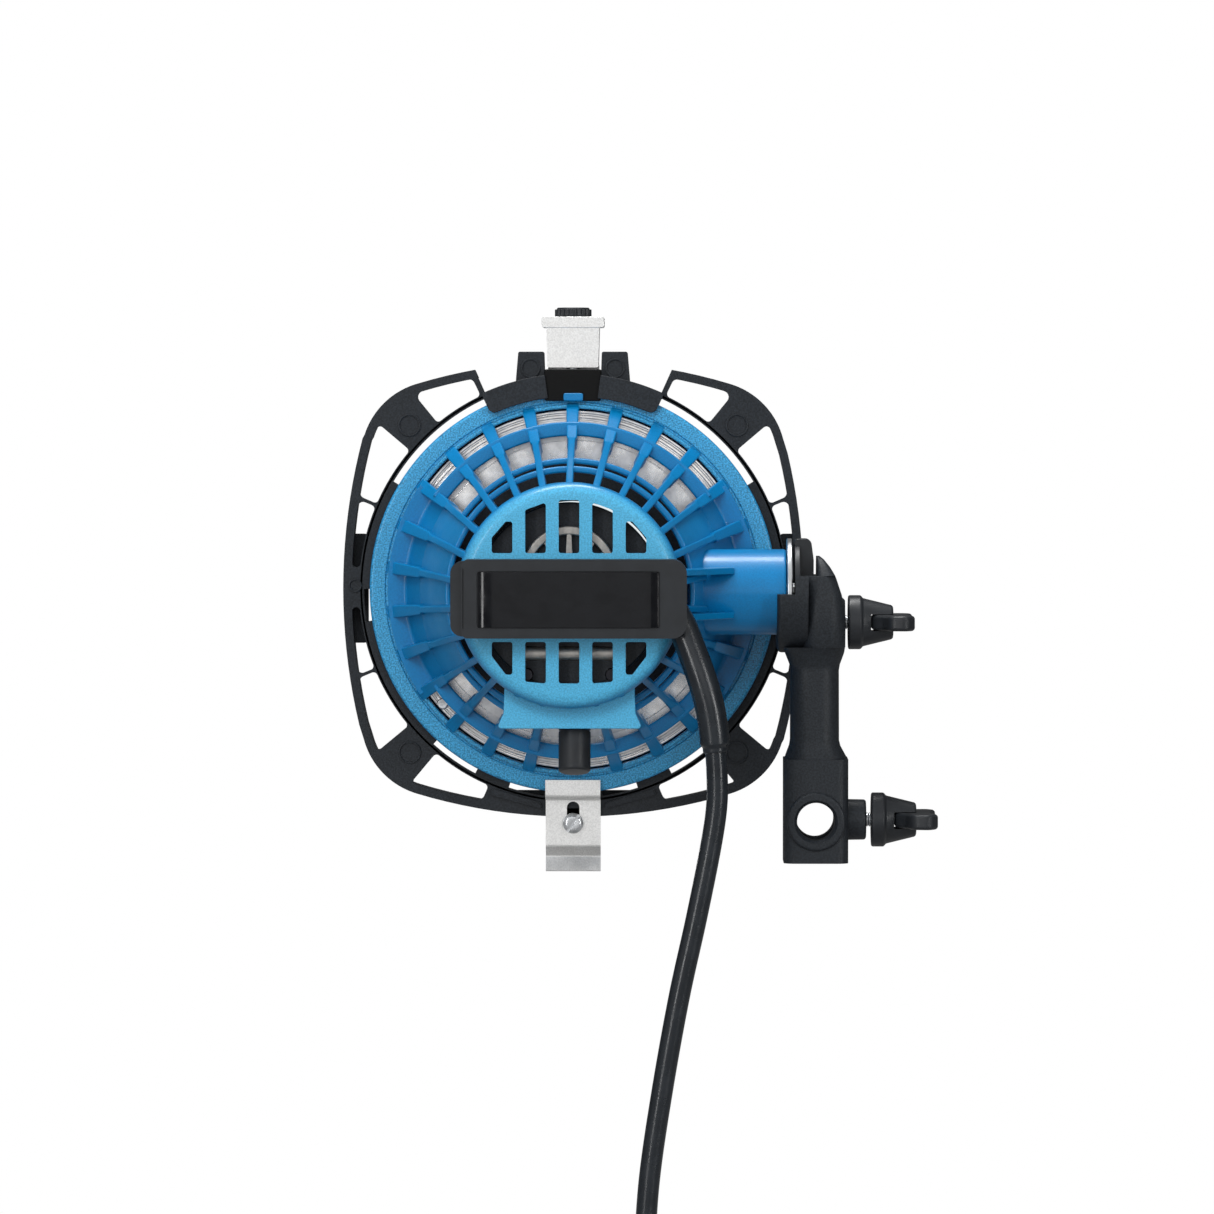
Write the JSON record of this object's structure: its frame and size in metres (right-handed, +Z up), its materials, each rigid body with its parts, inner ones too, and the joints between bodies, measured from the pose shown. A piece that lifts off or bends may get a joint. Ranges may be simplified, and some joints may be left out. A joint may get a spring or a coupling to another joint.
{
  "type": "fresnel spotlight",
  "caption": "Studio fresnel spotlight with a ribbed open housing, stepped lens, accessory frame and top latch, tilting on a single side arm with T-handles and a spigot receiver",
  "frame": {"origin": "middle of the blind end of the upright 16 mm spigot socket in the side arm", "axes": "+Z up along the spigot, +Y the way the light leaves, +X from the lamp head towards the side arm"},
  "size_m": [0.2582, 0.1369, 0.4703],
  "materials": {
    "blue_paint": "satin blue paint with a fine speckled texture on a die casting",
    "black_paint": "fine textured black powder coat",
    "black_plastic": "moulded black plastic, satin",
    "gloss_plate": "glossy black plate",
    "silver_sheet": "bright satin sheet metal",
    "steel": "zinc plated steel",
    "cast_aluminium": "grey as-cast aluminium",
    "mirror": "polished reflector",
    "lens_glass": "pressed clear glass",
    "lamp_glass": "clear quartz glass",
    "ceramic": "unglazed steatite ceramic",
    "rubber": "matt black rubber",
    "brass": "turned bearing bronze"
  },
  "bodies": {
    "arm": {"side_arm": "black_paint", "pivot_bolt": "steel"},
    "tilt_clamp": {"clamp_shoe": "black_plastic"},
    "tilt_handle": {"tilt_handle_hub": "black_plastic", "tilt_handle_bar": "black_plastic", "tilt_screw": "steel"},
    "spigot_clamp": {"lock_screw_tip": "brass"},
    "lock_handle": {"lock_handle_hub": "black_plastic", "lock_handle_bar": "black_plastic", "lock_screw": "steel"},
    "head": {"rear_housing": "blue_paint", "brake_disc": "steel", "brake_disc_screw_1": "steel", "brake_disc_screw_2": "steel", "brake_disc_screw_3": "steel", "pivot_bush": "brass", "terminal_cover": "black_plastic", "cover_plate": "gloss_plate", "terminal_block": "ceramic", "cable_boot": "rubber", "cable": "rubber", "cable_connector": "black_plastic", "front_frame": "black_paint", "lens": "lens_glass", "lens_ring": "black_paint", "heat_shield": "silver_sheet", "shield_screw_left": "steel", "shield_screw_right": "steel", "guide_rod_left": "steel", "guide_rod_right": "steel", "latch_pin": "steel", "latch_spring": "steel"},
    "focus_carriage": {"lamp_carriage": "black_paint", "socket_heat_sink": "cast_aluminium", "reflector": "mirror", "lamp_socket": "ceramic", "halogen_lamp": "lamp_glass", "focus_stem": "steel"},
    "focus_knob": {"focus_knob": "black_plastic"},
    "top_latch": {"latch_bracket": "silver_sheet", "latch_cap": "silver_sheet", "latch_knob": "black_plastic"},
    "bottom_clip": {"bottom_clip": "silver_sheet"},
    "clip_screw": {"clip_screw": "steel"}
  },
  "joints": [
    {"name": "head_tilt", "type": "hinge", "parent": "arm", "child": "head", "pos_m": [-0.012, 0, 0.08], "axis": [1, 0, 0], "range_deg": [-20, 90]},
    {"name": "tilt_clamp_travel", "type": "slide", "parent": "arm", "child": "tilt_clamp", "axis": [1, 0, 0], "range_m": [0, 0.001]},
    {"name": "tilt_handle_turn", "type": "hinge", "parent": "tilt_clamp", "child": "tilt_handle", "pos_m": [0.02, 0, 0.067], "axis": [1, 0, 0], "range_deg": [0, 360]},
    {"name": "spigot_clamp_travel", "type": "slide", "parent": "arm", "child": "spigot_clamp", "axis": [1, 0, 0], "range_m": [0, 0.0015]},
    {"name": "lock_handle_turn", "type": "hinge", "parent": "spigot_clamp", "child": "lock_handle", "pos_m": [0.03, 0, -0.018], "axis": [1, 0, 0], "range_deg": [0, 540]},
    {"name": "focus_travel", "type": "slide", "parent": "head", "child": "focus_carriage", "axis": [0, 1, 0], "range_m": [0, 0.036]},
    {"name": "focus_knob_turn", "type": "hinge", "parent": "focus_carriage", "child": "focus_knob", "pos_m": [-0.103, -0.0374, 0.0254], "axis": [0, 0.2756, 0.9613], "range_deg": [0, 180]},
    {"name": "top_latch_pull", "type": "slide", "parent": "head", "child": "top_latch", "axis": [0, 0, 1], "range_m": [0, 0.007], "stiffness_N_per_m": 400, "springref_m": -0.002, "deforming": ["latch_spring"]},
    {"name": "bottom_clip_slide", "type": "slide", "parent": "head", "child": "bottom_clip", "axis": [0, 0, -1], "range_m": [0, 0.006]},
    {"name": "clip_screw_turn", "type": "hinge", "parent": "head", "child": "clip_screw", "pos_m": [-0.105, 0.044, -0.0224], "axis": [0, -1, 0], "range_deg": [0, 720]}
  ],
  "couplings": [
    {"joint": "tilt_handle_turn", "follows": "tilt_clamp_travel", "rad_per_m": 6283.2},
    {"joint": "lock_handle_turn", "follows": "spigot_clamp_travel", "rad_per_m": 6283.2}
  ]
}
